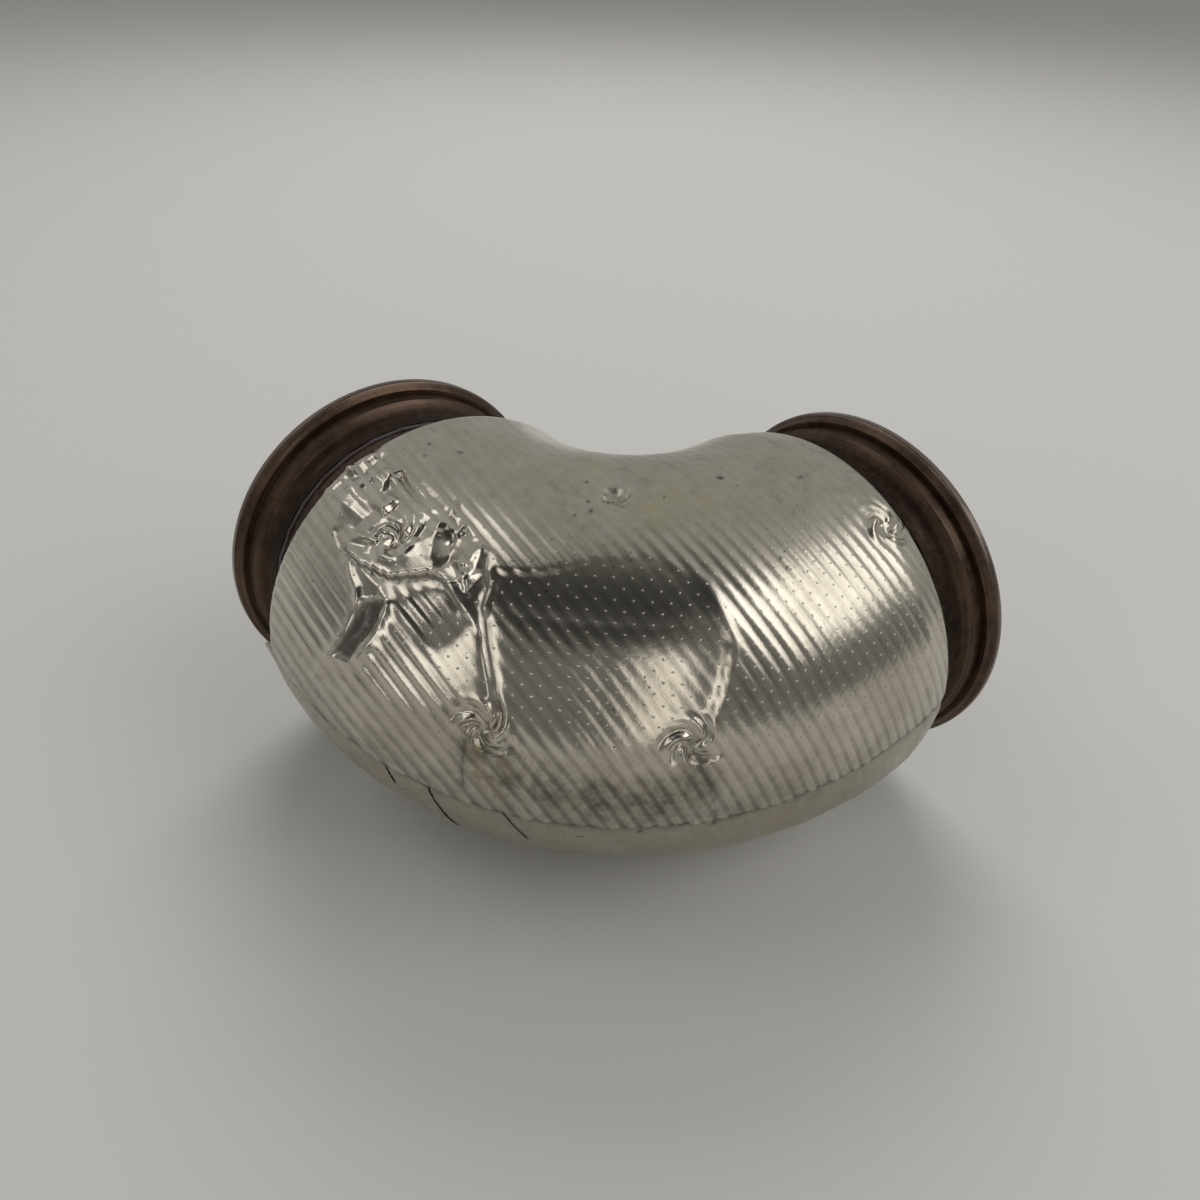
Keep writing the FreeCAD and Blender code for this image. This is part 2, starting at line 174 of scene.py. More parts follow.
class Nodes:
    """Shorthand for wiring one material's nodes."""

    def __init__(self, material):
        material.use_nodes = True
        self.tree = material.node_tree
        self.shader = self.tree.nodes["Principled BSDF"]

    def add(self, kind, inputs=(), **settings):
        made = self.tree.nodes.new("ShaderNode" + kind)
        for key, value in settings.items():
            setattr(made, key, value)
        for key, value in dict(inputs).items():
            if isinstance(value, bpy.types.NodeSocket):
                self.tree.links.new(value, made.inputs[key])
            else:
                made.inputs[key].default_value = value
        return made

    def calc(self, operation, *values, clamp=False):
        inputs = dict(enumerate(values))
        return self.add("Math", inputs, operation=operation, use_clamp=clamp).outputs[0]

    def dot(self, vector, other):
        made = self.add("VectorMath", {0: vector, 1: other}, operation="DOT_PRODUCT")
        return made.outputs["Value"]

    def noise(self, vector, scale, detail=3.0, roughness=0.55, distortion=0.0):
        made = self.add("TexNoise", {"Vector": vector, "Scale": scale, "Detail": detail,
                                     "Roughness": roughness, "Distortion": distortion})
        return made.outputs["Fac"]

    def ramp(self, value, low, high, to_low=0.0, to_high=1.0):
        made = self.add("MapRange", {"Value": value, "From Min": low, "From Max": high,
                                     "To Min": to_low, "To Max": to_high})
        made.interpolation_type = "SMOOTHSTEP"
        return made.outputs["Result"]

    def blend(self, share, first, second):
        made = self.add("Mix", data_type="RGBA")
        for key, value in (("Factor_Float", share), ("A_Color", first), ("B_Color", second)):
            socket = next(i for i in made.inputs if i.identifier == key)
            if isinstance(value, bpy.types.NodeSocket):
                self.tree.links.new(value, socket)
            else:
                socket.default_value = value
        return next(o for o in made.outputs if o.identifier == "Result_Color")

    def bump(self, height, distance, strength=1.0, normal=None):
        inputs = {"Height": height, "Distance": distance, "Strength": strength}
        if normal is not None:
            inputs["Normal"] = normal
        return self.add("Bump", inputs).outputs["Normal"]

    def link(self, value, name):
        self.tree.links.new(value, self.shader.inputs[name])


def finish_nodes(metal, *node_names):
    """Gives CAD nodes their finish."""
    for node_name in node_names:
        for node_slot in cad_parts[node_name].material_slots:
            node_slot.material = metal


n = Nodes(pipe_metal)
place = n.add("TexCoord").outputs["Object"]
cloud = n.noise(place, 70, 5.0, 0.65)
mottle = n.noise(place, 320, 4.0, 0.7)
colour = n.blend(n.ramp(cloud, 0.35, 0.65), (0.07, 0.045, 0.032, 1), (0.12, 0.082, 0.056, 1))
n.link(n.blend(n.ramp(mottle, 0.5, 0.7), colour, (0.028, 0.022, 0.018, 1)), "Base Color")
n.shader.inputs["Metallic"].default_value = 0.7
n.link(n.ramp(mottle, 0.3, 0.7, 0.45, 0.75), "Roughness")
n.link(n.bump(mottle, 0.0003, 0.4), "Normal")
finish_nodes(pipe_metal, "pipe_upper_half", "pipe_lower_half")


# Clamp flanges. Turned steel rings, brown from heat, with turning marks round the axis, darker
# soot in the hollow behind the step, and a rim scuffed bare by the clamp.
OUTLET_PLACE = 0.148
HOLLOW_DEPTH = (0.011, 0.015)
RIM_RADIUS = (0.0741, 0.0748)
TURNING_MARKS = 900.0


def heated_steel(name, along_axis, first_side, second_side, rim_light, soot):
    """Heat-tinted steel; depth and radius are read from the flange's own axis."""
    metal = bpy.data.materials.new(name)
    n = Nodes(metal)
    place = n.add("TexCoord").outputs["Object"]
    parts = n.add("SeparateXYZ", {0: place}).outputs
    depth = n.calc("MULTIPLY_ADD", parts[along_axis[0]], along_axis[1], along_axis[2])
    a = n.calc("SUBTRACT", parts[first_side[0]], first_side[1])
    b = n.calc("SUBTRACT", parts[second_side[0]], second_side[1])
    radius = n.calc("SQRT", n.calc("ADD", n.calc("MULTIPLY", a, a), n.calc("MULTIPLY", b, b)))
    ring_place = n.add("CombineXYZ", {0: n.calc("MULTIPLY", radius, TURNING_MARKS),
                                      1: n.calc("MULTIPLY", depth, TURNING_MARKS),
                                      2: n.calc("ARCTAN2", a, b)}).outputs[0]
    rings = n.noise(ring_place, 1.3, 3.0, 0.6)
    cloud = n.noise(place, 60, 5.0, 0.65)
    mottle = n.noise(place, 260, 4.0, 0.7)
    colour = n.blend(n.ramp(cloud, 0.3, 0.7), (0.060, 0.038, 0.026, 1), (0.115, 0.074, 0.049, 1))
    colour = n.blend(n.ramp(mottle, 0.5, 0.75, 0.0, 0.7), colour, (0.028, 0.017, 0.012, 1))
    colour = n.blend(n.ramp(rings, 0.50, 0.72, 0.0, 0.6), colour, (0.23, 0.165, 0.108, 1))
    hollow = n.calc("MULTIPLY", n.ramp(depth, *HOLLOW_DEPTH), n.ramp(mottle, 0.25, 0.6, 0.65, 1.0))
    colour = n.blend(n.calc("MULTIPLY", hollow, soot), colour, (0.022, 0.013, 0.009, 1))
    scuffed = n.calc("MULTIPLY", n.ramp(radius, *RIM_RADIUS),
                     n.ramp(n.noise(ring_place, 0.35, 4.0, 0.7), 0.45, 0.62))
    colour = n.blend(n.calc("MULTIPLY", scuffed, rim_light), colour, (0.34, 0.30, 0.26, 1))
    n.link(colour, "Base Color")
    n.shader.inputs["Metallic"].default_value = 0.85
    rough = n.calc("ADD", n.ramp(cloud, 0.3, 0.7, 0.24, 0.42), n.calc("MULTIPLY", hollow, 0.2))
    n.link(n.calc("SUBTRACT", rough, n.calc("MULTIPLY", scuffed, 0.12), clamp=True), "Roughness")
    turned = n.bump(rings, 0.00012, 0.5)
    n.link(n.bump(mottle, 0.0002, 0.35, turned), "Normal")
    return metal


finish_nodes(heated_steel("flange_steel_inlet", ("X", 1.0, 0.0), ("Y", 0.0), ("Z", 0.0),
                          rim_light=0.5, soot=0.75), "inlet_flange")
finish_nodes(heated_steel("flange_steel_outlet", ("Y", -1.0, OUTLET_PLACE), ("X", OUTLET_PLACE),
                          ("Z", 0.0), rim_light=0.8, soot=0.95), "outlet_flange")


# Welds. Beads of steel, blue-brown from the heat of welding: one along each seam of the pipe, and
# one round the neck of each flange, where it sits on the pipe.
bead_metal = bpy.data.materials.new("weld_bead")
n = Nodes(bead_metal)
place = n.add("TexCoord").outputs["Object"]
cloud = n.noise(place, 160, 4.0, 0.6)
n.link(n.blend(n.ramp(cloud, 0.35, 0.65), (0.10, 0.075, 0.065, 1), (0.13, 0.12, 0.13, 1)),
       "Base Color")
n.shader.inputs["Metallic"].default_value = 0.8
n.link(n.ramp(cloud, 0.3, 0.7, 0.4, 0.6), "Roughness")
n.link(n.bump(n.noise(place, 700, 2.0), 0.0004, 0.6), "Normal")

# Each neck weld is a ring of overlapping ripples, laid one after the other round the pipe.
bead_tree = bpy.data.node_groups.new("rippled_bead", "GeometryNodeTree")
bead_face = bead_tree.interface
for label, kind in (("Ring radius", "NodeSocketFloat"), ("Ripples", "NodeSocketInt"),
                    ("Ripple size", "NodeSocketVector"), ("Turn", "NodeSocketVector"),
                    ("Centre", "NodeSocketVector"), ("Metal", "NodeSocketMaterial")):
    bead_face.new_socket(label, in_out="INPUT", socket_type=kind)
bead_face.new_socket("Bead", in_out="OUTPUT", socket_type="NodeSocketGeometry")


def bead_node(kind, **settings):
    made = bead_tree.nodes.new(kind)
    for key, value in settings.items():
        setattr(made, key, value)
    return made


given = bead_node("NodeGroupInput").outputs
ring = bead_node("GeometryNodeCurvePrimitiveCircle")
places = bead_node("GeometryNodeCurveToPoints", mode="COUNT")
ripple = bead_node("GeometryNodeMeshIcoSphere")
ripple.inputs["Subdivisions"].default_value = 2
laid = bead_node("GeometryNodeInstanceOnPoints")
solid_bead = bead_node("GeometryNodeRealizeInstances")
moved = bead_node("GeometryNodeTransform")
faced = bead_node("GeometryNodeSetMaterial")
finished = bead_node("NodeGroupOutput")
for source, sink in (
        (given["Ring radius"], ring.inputs["Radius"]),
        (ring.outputs["Curve"], places.inputs["Curve"]), (given["Ripples"], places.inputs["Count"]),
        (places.outputs["Points"], laid.inputs["Points"]),
        (places.outputs["Rotation"], laid.inputs["Rotation"]),
        (ripple.outputs["Mesh"], laid.inputs["Instance"]),
        (given["Ripple size"], laid.inputs["Scale"]),
        (laid.outputs["Instances"], solid_bead.inputs["Geometry"]),
        (solid_bead.outputs["Geometry"], moved.inputs["Geometry"]),
        (given["Turn"], moved.inputs["Rotation"]), (given["Centre"], moved.inputs["Translation"]),
        (moved.outputs["Geometry"], faced.inputs["Geometry"]),
        (given["Metal"], faced.inputs["Material"]),
        (faced.outputs["Geometry"], finished.inputs["Bead"])):
    bead_tree.links.new(source, sink)


def neck_weld(name, turn, centre, replaced):
    """Lays one bead and makes it a plain mesh in place of its node."""
    piece = bpy.data.objects.new(name, bpy.data.meshes.new(name))
    bpy.context.scene.collection.objects.link(piece)
    layer = piece.modifiers.new("bead", "NODES")
    layer.node_group = bead_tree
    wanted = {"Ring radius": 0.0640, "Ripples": 230, "Ripple size": (0.0008, 0.0010, 0.0017),
              "Turn": turn, "Centre": centre, "Metal": bead_metal}
    for socket in bead_face.items_tree:
        if socket.in_out == "INPUT":
            layer[socket.identifier] = wanted[socket.name]
    ready = piece.evaluated_get(bpy.context.evaluated_depsgraph_get())
    mesh = bpy.data.meshes.new_from_object(ready)
    piece.modifiers.remove(layer)
    piece.data = mesh
    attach(piece, "root")
    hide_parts(replaced)


NECK_DEPTH = 0.0229
neck_weld("neck_weld_inlet", (0, math.pi / 2, 0), (NECK_DEPTH, 0, 0), "inlet_flange_weld")
neck_weld("neck_weld_outlet", (math.pi / 2, 0, 0), (OUTLET_PLACE, OUTLET_PLACE - NECK_DEPTH, 0),
          "outlet_flange_weld")
finish_nodes(bead_metal, "seam_weld_inner", "seam_weld_outer")


# Fibre mats. Pressed glass-fibre wool that fills the room between pipe and foil, in two halves. They
# are dented and crushed together with the foil over them, so the form of the dented bend stands
# here. They show only through the cracks in the foil. Sizes are in mm.
LEG_LENGTH = 58.5
BEND_RADIUS = 89.5
BEND_END = BEND_RADIUS * math.pi / 2
COVER_RADIUS = 78.8
INLET_EDGE = -9.5
OUTLET_EDGE = BEND_END + 23.5
INLET_TAPER = 0.8
INLET_TAPER_LENGTH = 3.0
OUTLET_TAPER = 2.6
OUTLET_TAPER_LENGTH = 12.0
SEAM_LOW = -10.0
SEAM_SAG_RADIUS = 520.0
FOIL = 0.4
MAT_INSIDE = 63.6
MAT_UNDER_FOIL = 2.4
MAT_END_GAP = 1.0
MAT_EDGE_RISE = 4.0

# A place on the cover is a run, in mm along the centreline from the start of the bend, and a lift, in
# degrees above the plane of the bend on its outer side. The dents pressed into mats and foils have a
# turn round the bend in degrees, a lift, and the radius and depth of the ball that fits them. One more
# lies on the outlet leg and has its run instead of a turn.
DENTS = ((16.8, 34.0, 26.0, 1.2), (26.0, 42.0, 70.0, 1.2),
         (14.8, 56.5, 8.0, 2.0), (35.0, 18.3, 8.0, 2.0), (48.8, 85.0, 8.0, 2.0),
         (60.1, 18.0, 8.0, 2.0))
LEG_DENT = (BEND_END + 14.0, 59.0, 8.0, 2.0)

# Creases in the foil, as lines of (run, lift) places: most lie near the inlet, some round the wide dent
# and one near the outlet. A ridge or groove has a height and the distance over which it fades. The
# flap is high on its upper side and drops sharply below it.
RIDGES = (
    (((15.8, 45.6), (18.8, 42.7), (21.5, 40.8), (23.4, 37.5), (23.8, 33.4), (22.8, 28.4),
      (20.3, 22.4), (17.7, 16.4), (17.0, 12.8)), 1.9, 2.4),
    (((19.2, 45.8), (23.2, 44.5), (26.8, 43.5), (30.0, 41.3), (30.6, 38.5), (30.0, 34.0),
      (28.4, 28.3), (27.2, 24.4)), 1.5, 2.0),
    (((-10.0, 55.3), (6.0, 56.4), (21.2, 55.8)), 0.9, 1.3),
    (((21.1, 51.4), (23.5, 50.2), (26.4, 51.6), (28.8, 53.8), (29.3, 55.8)), 1.3, 1.1),
    (((41.8, 50.6), (46.2, 53.2), (48.5, 56.6), (47.8, 59.6)), 0.8, 1.2),
    (((47.8, 59.6), (48.5, 56.6), (50.4, 53.0), (50.5, 48.0), (51.8, 44.9), (53.8, 38.3),
      (55.9, 31.7), (57.6, 24.0)), -1.5, 1.3),
    (((98.5, 58.0), (100.8, 50.0), (102.3, 43.0), (100.4, 33.0), (96.8, 24.0)), 0.4, 2.6),
    (((92.9, 19.6), (94.7, 13.2), (96.6, 6.8), (98.3, -4.0)), -0.5, 0.8),
    (((52.1, 14.7), (51.6, 6.0), (51.5, -0.5)), -0.6, 0.9),
    (((148.0, 62.0), (155.0, 60.3), (162.0, 58.0)), 0.6, 1.0),
)
FLAP = ((14.0, 47.6), (18.8, 46.4), (21.8, 46.8), (25.0, 46.8), (28.4, 47.2), (32.8, 49.6),
        (36.3, 51.5), (39.3, 51.8), (41.8, 50.6), (44.1, 48.5), (46.1, 46.7))

# Flat facets between creases: outline, height in mm, and slopes along the run and the lift.
FACETS = (
    (((6.1, 49.4), (9.8, 51.9), (15.0, 53.2), (19.7, 53.3), (13.3, 49.8), (10.9, 47.0)),
     0.7, 0.10, 0.12),
    (((8.7, 70.7), (9.6, 72.1), (33.8, 64.8), (32.7, 63.7)), -0.7, 0.0, -0.30),
    (((-9.8, 63.1), (-6.8, 65.3), (3.5, 65.9), (3.9, 61.4)), 0.5, -0.10, -0.16),
    (((3.9, 61.4), (3.5, 65.9), (13.3, 66.9), (17.2, 65.3), (16.8, 60.0)), 0.6, 0.12, -0.12),
    (((32.8, 62.6), (32.2, 72.3), (37.5, 66.2), (38.1, 58.7)), -0.3, -0.14, 0.05),
    (((37.1, 60.6), (39.4, 65.6), (45.4, 61.7), (45.7, 54.7), (40.2, 56.6)), 0.7, 0.13, -0.14),
    (((41.8, 56.6), (47.8, 56.9), (50.5, 49.5), (46.2, 50.7)), 0.5, -0.16, -0.10),
    (((18.4, 49.9), (18.8, 53.1), (21.6, 55.7), (23.5, 53.0), (21.1, 51.0)), 0.5, -0.20, 0.10),
)

# The floor of the pocket between the first two ridges.
POCKET_FLOOR = ((23.9, 38.3), (26.4, 40.6), (29.0, 41.0), (27.4, 32.5), (24.6, 23.3), (20.6, 22.4),
                (22.9, 30.0))

# Foil crushed by hand above the flap and round the first pinch: the stretch, the mean distance
# between creases, and how far they stand out, in mm.
CRUSHED = ((-9.8, 57.0), (-9.8, 73.0), (20.0, 72.0), (34.0, 70.0), (40.0, 66.0), (47.5, 60.0),
           (47.5, 51.0), (36.0, 54.0), (28.0, 50.5), (14.0, 49.5), (2.0, 52.0))
CREASE_SPACING = 7.4
CRUSH_HEIGHT = 0.85

# Millimetres on the foil laid flat, for a mm of run and a degree of lift.
RUN_ON_SHEET = 1.65
LIFT_ON_SHEET = 1.37

# Depth of the pocket, how much steeper the facets stand than listed, and the two sides of the flap.
POCKET_DEPTH = 1.5
FACET_STEEPNESS = 1.35
FLAP_RISE = 1.9
FLAP_DROP = 1.7

# The wide dent on the shoulder: sharp along its top and down the outlet side, where its broad wall
# leans back, and running out softly towards the seam.
WIDE_DENT = ((50.7, 57.2), (60.6, 58.9), (73.3, 63.8), (85.9, 65.4), (94.7, 60.1), (98.3, 51.1),
             (100.7, 43.8), (98.2, 32.5), (94.3, 21.5), (85.0, 8.0), (74.0, 5.0), (64.0, 10.0),
             (58.1, 18.0), (55.9, 31.7), (53.8, 38.3), (51.8, 44.9))
WIDE_DENT_DEPTH = 2.5


def centreline(run):
    """Centreline point and outward direction; run is in mm from the start of the bend."""
    turn = np.clip(run / BEND_RADIUS, 0, math.pi / 2)
    level = np.zeros_like(turn)
    outward = np.stack([np.sin(turn), -np.cos(turn), level], -1)
    tangent = np.stack([np.cos(turn), np.sin(turn), level], -1)
    centre = np.array([LEG_LENGTH, BEND_RADIUS, 0]) + BEND_RADIUS * outward
    return centre + tangent * (run - turn * BEND_RADIUS)[..., None], outward


def tube_direction(outward, lift):
    """Direction from the centreline out to the cover at a lift."""
    lift = np.radians(lift)
    return np.cos(lift)[..., None] * outward + np.sin(lift)[..., None] * np.array((0, 0, 1.0))


def dented_radius(run, lift, inset):
    """Radius of the cover along each direction, with the tapered ends and the pressed dents."""
    centre, outward = centreline(run)
    direction = tube_direction(outward, lift)
    radius = np.full(run.shape, COVER_RADIUS - inset)
    radius -= INLET_TAPER * np.clip(1 - (run - INLET_EDGE) / INLET_TAPER_LENGTH, 0, 1)
    radius -= OUTLET_TAPER * np.clip(1 - (OUTLET_EDGE - run) / OUTLET_TAPER_LENGTH, 0, 1)
    dents = [(math.radians(turn) * BEND_RADIUS, *rest) for turn, *rest in DENTS]
    balls = []
    for dent_run, high, ball, depth in dents + [LEG_DENT]:
        place, out = centreline(np.array([dent_run]))
        reach = COVER_RADIUS + ball - depth
        balls.append((place[0] + reach * tube_direction(out, np.array([high]))[0], ball + inset))
    soft = 0.25
    for heart, ball in balls:
        to_heart = heart - centre
        along = (to_heart * direction).sum(-1)
        room = ball ** 2 - ((to_heart ** 2).sum(-1) - along ** 2)
        entry = along - np.sqrt(np.clip(room, 0, None))
        meets = (room > 0) & (along > 0)
        pressed = np.where(meets, np.clip(radius - entry, -1.0, None), -1.0)
        radius = radius - soft * np.log1p(np.exp(pressed / soft)) + soft * math.log1p(
            math.exp(-1.0 / soft))
    return radius


def on_sheet(run, lift):
    """Places laid out flat, in mm, near enough where the creases are."""
    return np.stack([run * RUN_ON_SHEET, lift * LIFT_ON_SHEET], -1)


def from_line(run, lift, line):
    """Distance from a line of places in mm, above zero on the side of greater lift."""
    here = on_sheet(run, lift).reshape(-1, 2)
    corners = on_sheet(*np.array(line, float).T)
    nearest = np.full(len(here), 1e9)
    side = np.ones(len(here))
    for a, b in zip(corners[:-1], corners[1:]):
        edge = b - a
        share = np.clip(((here - a) @ edge) / (edge @ edge), 0, 1)
        off = here - a - share[:, None] * edge
        away = np.linalg.norm(off, axis=1)
        turned = np.sign(edge[0] * off[:, 1] - edge[1] * off[:, 0])
        side = np.where(away < nearest, turned, side)
        nearest = np.minimum(nearest, away)
    return (nearest * side).reshape(run.shape)


def inside_outline(run, lift, outline, soft):
    """1 inside a closed outline of places, falling to 0 across a band of some mm."""
    x, y = on_sheet(run, lift).reshape(-1, 2).T
    corners = on_sheet(*np.array(outline, float).T)
    wound = np.zeros(x.shape, bool)
    for (ax, ay), (bx, by) in zip(corners, np.roll(corners, -1, 0)):
        crosses = (ay > y) != (by > y)
        wound ^= crosses & (x < (bx - ax) * (y - ay) / (by - ay + 1e-12) + ax)
    away = np.abs(from_line(run, lift, list(outline) + [outline[0]])).ravel()
    signed = np.where(wound, away, -away)
    return np.clip(0.5 + signed / (2 * soft), 0, 1).reshape(run.shape)


def crushed_height(run, lift):
    """Flat triangles of foil between crease corners that lie at random."""
    corners = on_sheet(*np.array(CRUSHED, float).T)
    draw = np.random.default_rng(11)
    across, up = (np.arange(low - 8, high + 8, CREASE_SPACING)
                  for low, high in zip(corners.min(0), corners.max(0)))
    places = np.stack(np.meshgrid(across, up), -1).reshape(-1, 2)
    places = places + draw.uniform(-0.42, 0.42, places.shape) * CREASE_SPACING
    rises = draw.normal(0.0, CRUSH_HEIGHT, len(places))
    points, _, faces, origin, _, _ = delaunay_2d_cdt([Vector(p) for p in places], [], [], 0, 1e-6)
    here = on_sheet(run, lift)
    height = np.zeros(run.shape)
    for face in faces:
        a, b, c = (np.array(points[k]) for k in face)
        rise_a, rise_b, rise_c = (rises[origin[k][0]] for k in face)
        share = (here - a) @ np.linalg.inv(np.array([b - a, c - a]))
        inside = (share >= 0).all(-1) & (share.sum(-1) <= 1)
        plane = rise_a + share[..., 0] * (rise_b - rise_a) + share[..., 1] * (rise_c - rise_a)
        height = np.where(inside, plane, height)
    return height * inside_outline(run, lift, CRUSHED, 3.0)


def crumple_height(run, lift):
    """How far the creased foil stands out, in mm."""
    height = crushed_height(run, lift) - POCKET_DEPTH * inside_outline(run, lift, POCKET_FLOOR, 1.0)
    for outline, rise, along_run, along_lift in FACETS:
        middle = on_sheet(*np.array(outline, float).T).mean(0)
        off = on_sheet(run, lift) - middle
        tilted = rise + FACET_STEEPNESS * (along_run * off[..., 0] + along_lift * off[..., 1])
        height += inside_outline(run, lift, outline, 1.0) * tilted
    for line, rise, width in RIDGES:
        height += rise * np.exp(-np.abs(from_line(run, lift, line)) / width)
    flap = from_line(run, lift, FLAP)
    height += np.where(flap > 0, FLAP_RISE * np.exp(-flap / 5.0), -FLAP_DROP * np.exp(flap / 3.4))
    return height


def wide_dent(run, lift):
    """Depth of the wide dent in mm."""
    right_wall = np.clip((run - 76.0) / 24.0, 0, 1) * np.clip((lift - 6) / 14, 0, 1)
    left_wall = np.clip((64.0 - run) / 12.0, 0, 1)
    low_wall = np.clip((36.0 - lift) / 28.0, 0, 1)
    top_wall = np.clip((lift - 48.0) / 15.0, 0, 1)
    depth = WIDE_DENT_DEPTH * (1 - 0.82 * right_wall) * (1 - 0.5 * left_wall) * (1 - low_wall)
    depth = depth * (1 - 0.78 * top_wall)
    return inside_outline(run, lift, WIDE_DENT, 1.3) * depth


def seam_height(points):
    """Height of the seam between the two foils, which sags at mid bend."""
    off = ((points[..., 0] - LEG_LENGTH) + (points[..., 1] - BEND_RADIUS)) / math.sqrt(2)
    return SEAM_LOW + SEAM_SAG_RADIUS - np.sqrt(SEAM_SAG_RADIUS ** 2 - off ** 2)


def seam_lift(runs, outer, rise=0.0):
    """Lift at which a column meets the seam, on the outer or the inner side of the bend."""
    lift = np.full(runs.shape, 0.0 if outer else 180.0)
    for _ in range(12):
        centre, outward = centreline(runs)
        point = centre + COVER_RADIUS * tube_direction(outward, lift)
        level = np.degrees(np.arcsin((seam_height(point) + rise) / COVER_RADIUS))
        lift = level if outer else 180.0 - level
    return lift


def shell_grid(runs, shares, lift_from, lift_to):
    """Rows and columns over one shell; the lift range may change along the run."""
    run = np.repeat(runs[:, None], len(shares), 1)
    start, stop = lift_from(runs), lift_to(runs)
    lift = start[:, None] + shares[None, :] * (stop - start)[:, None]
    return run, lift


def sheet_object(name, points, material, marks=None, left_out=None):
    """Makes a smooth mesh of a grid of points in mm, faces turned outwards."""
    columns, rows = points.shape[:2]
    mesh = bpy.data.meshes.new(name)
    number = np.arange(columns * rows).reshape(columns, rows)
    faces = np.stack([number[:-1, :-1], number[1:, :-1], number[1:, 1:], number[:-1, 1:]], -1)
    faces = faces.reshape(-1, 4) if left_out is None else faces[~left_out]
    mesh.vertices.add(columns * rows)
    mesh.vertices.foreach_set("co", (points.reshape(-1, 3) * MM).ravel())
    mesh.loops.add(faces.size)
    mesh.loops.foreach_set("vertex_index", faces.ravel().astype(np.int32))
    mesh.polygons.add(len(faces))
    mesh.polygons.foreach_set("loop_start", np.arange(0, faces.size, 4, dtype=np.int32))
    mesh.polygons.foreach_set("loop_total", np.full(len(faces), 4, dtype=np.int32))
    mesh.polygons.foreach_set("use_smooth", np.ones(len(faces), bool))
    mesh.update(calc_edges=True)
    mesh.validate()
    for mark, values in (marks or {}).items():
        layer = mesh.attributes.new(mark, "FLOAT", "POINT")
        layer.data.foreach_set("value", values.astype(np.float32).ravel())
    mesh.materials.append(material)
    piece = bpy.data.objects.new(name, mesh)
    bpy.context.scene.collection.objects.link(piece)
    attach(piece, "root")
    return piece


wool = bpy.data.materials.new("glass_wool")
n = Nodes(wool)
place = n.add("TexCoord").outputs["Object"]
fibres = n.noise(place, 900, 4.0, 0.7, 1.5)
n.link(n.blend(n.ramp(fibres, 0.35, 0.65), (0.42, 0.38, 0.31, 1), (0.72, 0.69, 0.61, 1)),
       "Base Color")
n.shader.inputs["Roughness"].default_value = 0.95
n.link(n.bump(fibres, 0.0008, 0.8), "Normal")


def mat_piece(name, lift_from, lift_to, replaced):
    """A closed half mat: its outside follows the dents, its inside lies on the pipe."""
    runs = np.linspace(INLET_EDGE + MAT_END_GAP, OUTLET_EDGE - MAT_END_GAP, 120)
    run, lift = shell_grid(runs, np.linspace(0, 1, 60), lift_from, lift_to)
    centre, outward = centreline(run)
    direction = tube_direction(outward, lift)
    outside = dented_radius(run, lift, FOIL)
    crumpled = np.minimum(crumple_height(run, lift), 0)
    dent = wide_dent(run, lift)
    outer = centre + (outside + crumpled - dent - MAT_UNDER_FOIL)[..., None] * direction
    inner = centre + MAT_INSIDE * direction
    ring = np.concatenate([outer, inner[:, ::-1], outer[:, :1]], 1)
    middle = (outer + inner) / 2
    caps = np.concatenate([middle, middle[:, ::-1], middle[:, :1]], 1)
    solid = sheet_object(name, np.concatenate([caps[:1], ring, caps[-1:]]), wool)
    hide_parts(replaced)


mat_piece("fibre_mat_upper", lambda r: seam_lift(r, True, MAT_EDGE_RISE),
          lambda r: seam_lift(r, False, MAT_EDGE_RISE), "insulation_upper")
mat_piece("fibre_mat_lower", lambda r: seam_lift(r, False, MAT_EDGE_RISE) - 360.0,
          lambda r: seam_lift(r, True, MAT_EDGE_RISE), "insulation_lower")


# Upper foil shell. Thin stainless foil, embossed with slanting ribs and rows of small points,
# pressed over the fibre mat, pinched to it in five places and crumpled near the inlet. Its edges
# turn in to the pipe at both ends.
RIB_DIRECTION = np.array((0.077, 0.914, 0.399))
RIB_PITCH = 4.4
RIB_HEIGHT = 0.13
POINT_ROW_DIRECTION = np.array((0.72, 0.03, -0.69))
POINT_PITCH = 4.8
LINE_OFFSET = 0.30
LINE_STAGGER = 0.37
LIP_HEIGHT = 0.35
SET_IN = 0.25
TURNED_IN = (0.6, 4.0, 14.9)

# Pinches: run, lift and size. Round them, along a line past the first, in a patch beside the tall
# crease and round the pocket, the ribs are pressed flat.
TWIST_SIZE = 1.6
TWIST_HEIGHT = 0.8
PINCH_REACH = 6.5
PRESSED_REACH = 9.0
PRESSED_LINE = ((10, 51), (22, 53), (34, 55), (40, 53))
PINCHES = ((23.2, 56.2, 1.0), (55.0, 18.8, 1.2), (77.1, 84.4, 0.8), (92.9, 19.6, 1.1),
           (154.6, 59.5, 1.1))
SMOOTH_PATCH = ((43.0, 41.6), (46.1, 46.0), (50.0, 45.4), (52.4, 38.3), (54.0, 31.5), (53.6, 26.6),
                (48.3, 26.7), (42.6, 34.5))
POCKET_FIELD = ((15.8, 46.0), (29.8, 43.0), (31.0, 34.0), (27.2, 22.0), (17.0, 12.0), (20.0, 24.0),
                (22.5, 33.0))

